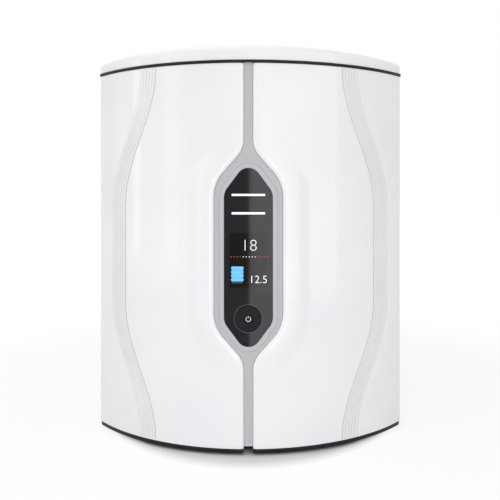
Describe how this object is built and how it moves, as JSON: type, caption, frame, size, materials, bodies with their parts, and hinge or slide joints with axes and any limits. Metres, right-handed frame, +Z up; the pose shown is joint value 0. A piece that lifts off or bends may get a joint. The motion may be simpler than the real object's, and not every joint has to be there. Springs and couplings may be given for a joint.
{
  "type": "ultrapure water system",
  "caption": "White bench cabinet with a bowed front, hinged doors and a central display, that makes ultrapure water from packs, lamp, filter and pump inside.",
  "frame": {"origin": "on the bench, under the middle of the bounding box", "axes": "X to the right seen from the front, Y to the back, Z up; the doors face -Y"},
  "size_m": [0.3704, 0.34, 0.4496],
  "materials": {
    "dark_trim": "satin",
    "black_rubber": "matte",
    "gloss_white_plastic": "gloss",
    "white_painted_steel": "satin",
    "bright_steel": "satin",
    "pale_strip": "gloss",
    "grey_frame": "satin",
    "pale_grey_bezel": "satin",
    "smoked_glass": "gloss",
    "black_plastic": "matte",
    "light_guide": "gloss",
    "circuit_board": "gloss",
    "graphite_dial": "spun",
    "grey_plastic": "matte",
    "natural_polymer": "matte",
    "quartz": "gloss",
    "motor_steel": "satin",
    "sheet_aluminium": "satin",
    "brass_standoff": "satin",
    "blue_tube": "gloss"
  },
  "bodies": {
    "cabinet": {"base_plinth": "dark_trim", "rubber_feet": "black_rubber", "top_deck": "dark_trim", "top_cover": "gloss_white_plastic", "left_side_panel": "white_painted_steel", "right_side_panel": "white_painted_steel", "rear_panel": "white_painted_steel", "rear_panel_screws": "bright_steel", "door_pivot_pins": "bright_steel", "door_strike_plates": "bright_steel", "centre_column": "grey_frame", "display_bezel": "pale_grey_bezel", "display_glass": "smoked_glass", "display_screen": "black_plastic", "light_bars": "light_guide", "display_board": "circuit_board", "display_housing": "black_plastic", "dial_encoder": "black_plastic", "bulkhead": "white_painted_steel", "left_dock": "grey_plastic", "right_dock": "grey_plastic", "dock_nozzles": "natural_polymer", "uv_chamber": "bright_steel", "uv_end_caps": "black_plastic", "uv_lamp": "quartz", "uv_clamps": "grey_plastic", "ultrafilter": "natural_polymer", "ultrafilter_clamps": "grey_plastic", "pump_body": "black_plastic", "pump_mounts": "black_rubber", "pump_cover": "black_plastic", "pump_motor": "motor_steel", "power_supply": "sheet_aluminium", "uv_ballast": "sheet_aluminium", "control_board": "circuit_board", "board_standoffs": "brass_standoff", "valve_manifold": "natural_polymer", "solenoid_coils": "black_plastic", "leak_sensor": "black_plastic", "rear_water_ports": "grey_plastic", "port_nuts": "grey_plastic", "power_inlet": "black_plastic", "feed_tube": "blue_tube", "drain_tube": "natural_polymer", "pump_tube": "natural_polymer", "pack_tube": "natural_polymer", "product_tube": "natural_polymer"},
    "left_door": {"left_door": "gloss_white_plastic", "left_door_magnets": "bright_steel", "left_accent_strip": "pale_strip"},
    "right_door": {"right_door": "gloss_white_plastic", "right_door_magnets": "bright_steel", "right_accent_strip": "pale_strip"},
    "control_dial": {"control_dial": "graphite_dial"},
    "power_button": {"power_button": "graphite_dial"},
    "left_purification_pack": {"left_purification_pack": "natural_polymer"},
    "right_purification_pack": {"right_purification_pack": "natural_polymer"},
    "pump_impeller": {"pump_impeller": "natural_polymer"},
    "power_switch": {"power_switch": "black_plastic"},
    "fuse_drawer": {"fuse_drawer": "black_plastic"}
  },
  "joints": [
    {"name": "left_door_hinge", "type": "hinge", "parent": "cabinet", "child": "left_door", "pos_m": [-0.176, -0.07996, 0.219], "axis": [0, 0, -1], "range_deg": [0, 105]},
    {"name": "right_door_hinge", "type": "hinge", "parent": "cabinet", "child": "right_door", "pos_m": [0.176, -0.07996, 0.219], "axis": [0, 0, 1], "range_deg": [0, 105]},
    {"name": "dial_turn", "type": "hinge", "parent": "cabinet", "child": "control_dial", "pos_m": [0, -0.1655, 0.1495], "axis": [0, 1, 0], "continuous": true},
    {"name": "button_press", "type": "slide", "parent": "cabinet", "child": "power_button", "axis": [0, 1, 0], "range_m": [0, 0.001], "stiffness_N_per_m": 800, "springref_m": -0.0005},
    {"name": "left_pack_lift", "type": "slide", "parent": "cabinet", "child": "left_purification_pack", "axis": [0, 0, 1], "range_m": [0, 0.018]},
    {"name": "right_pack_lift", "type": "slide", "parent": "cabinet", "child": "right_purification_pack", "axis": [0, 0, 1], "range_m": [0, 0.018]},
    {"name": "impeller_spin", "type": "hinge", "parent": "cabinet", "child": "pump_impeller", "pos_m": [-0.01, 0.061, 0.05], "axis": [0, 0, 1], "continuous": true},
    {"name": "switch_rock", "type": "hinge", "parent": "cabinet", "child": "power_switch", "pos_m": [0.1435, 0.1455, 0.059], "axis": [1, 0, 0], "range_deg": [0, 14]},
    {"name": "fuse_drawer_slide", "type": "slide", "parent": "cabinet", "child": "fuse_drawer", "axis": [0, 1, 0], "range_m": [0, 0.012]}
  ]
}
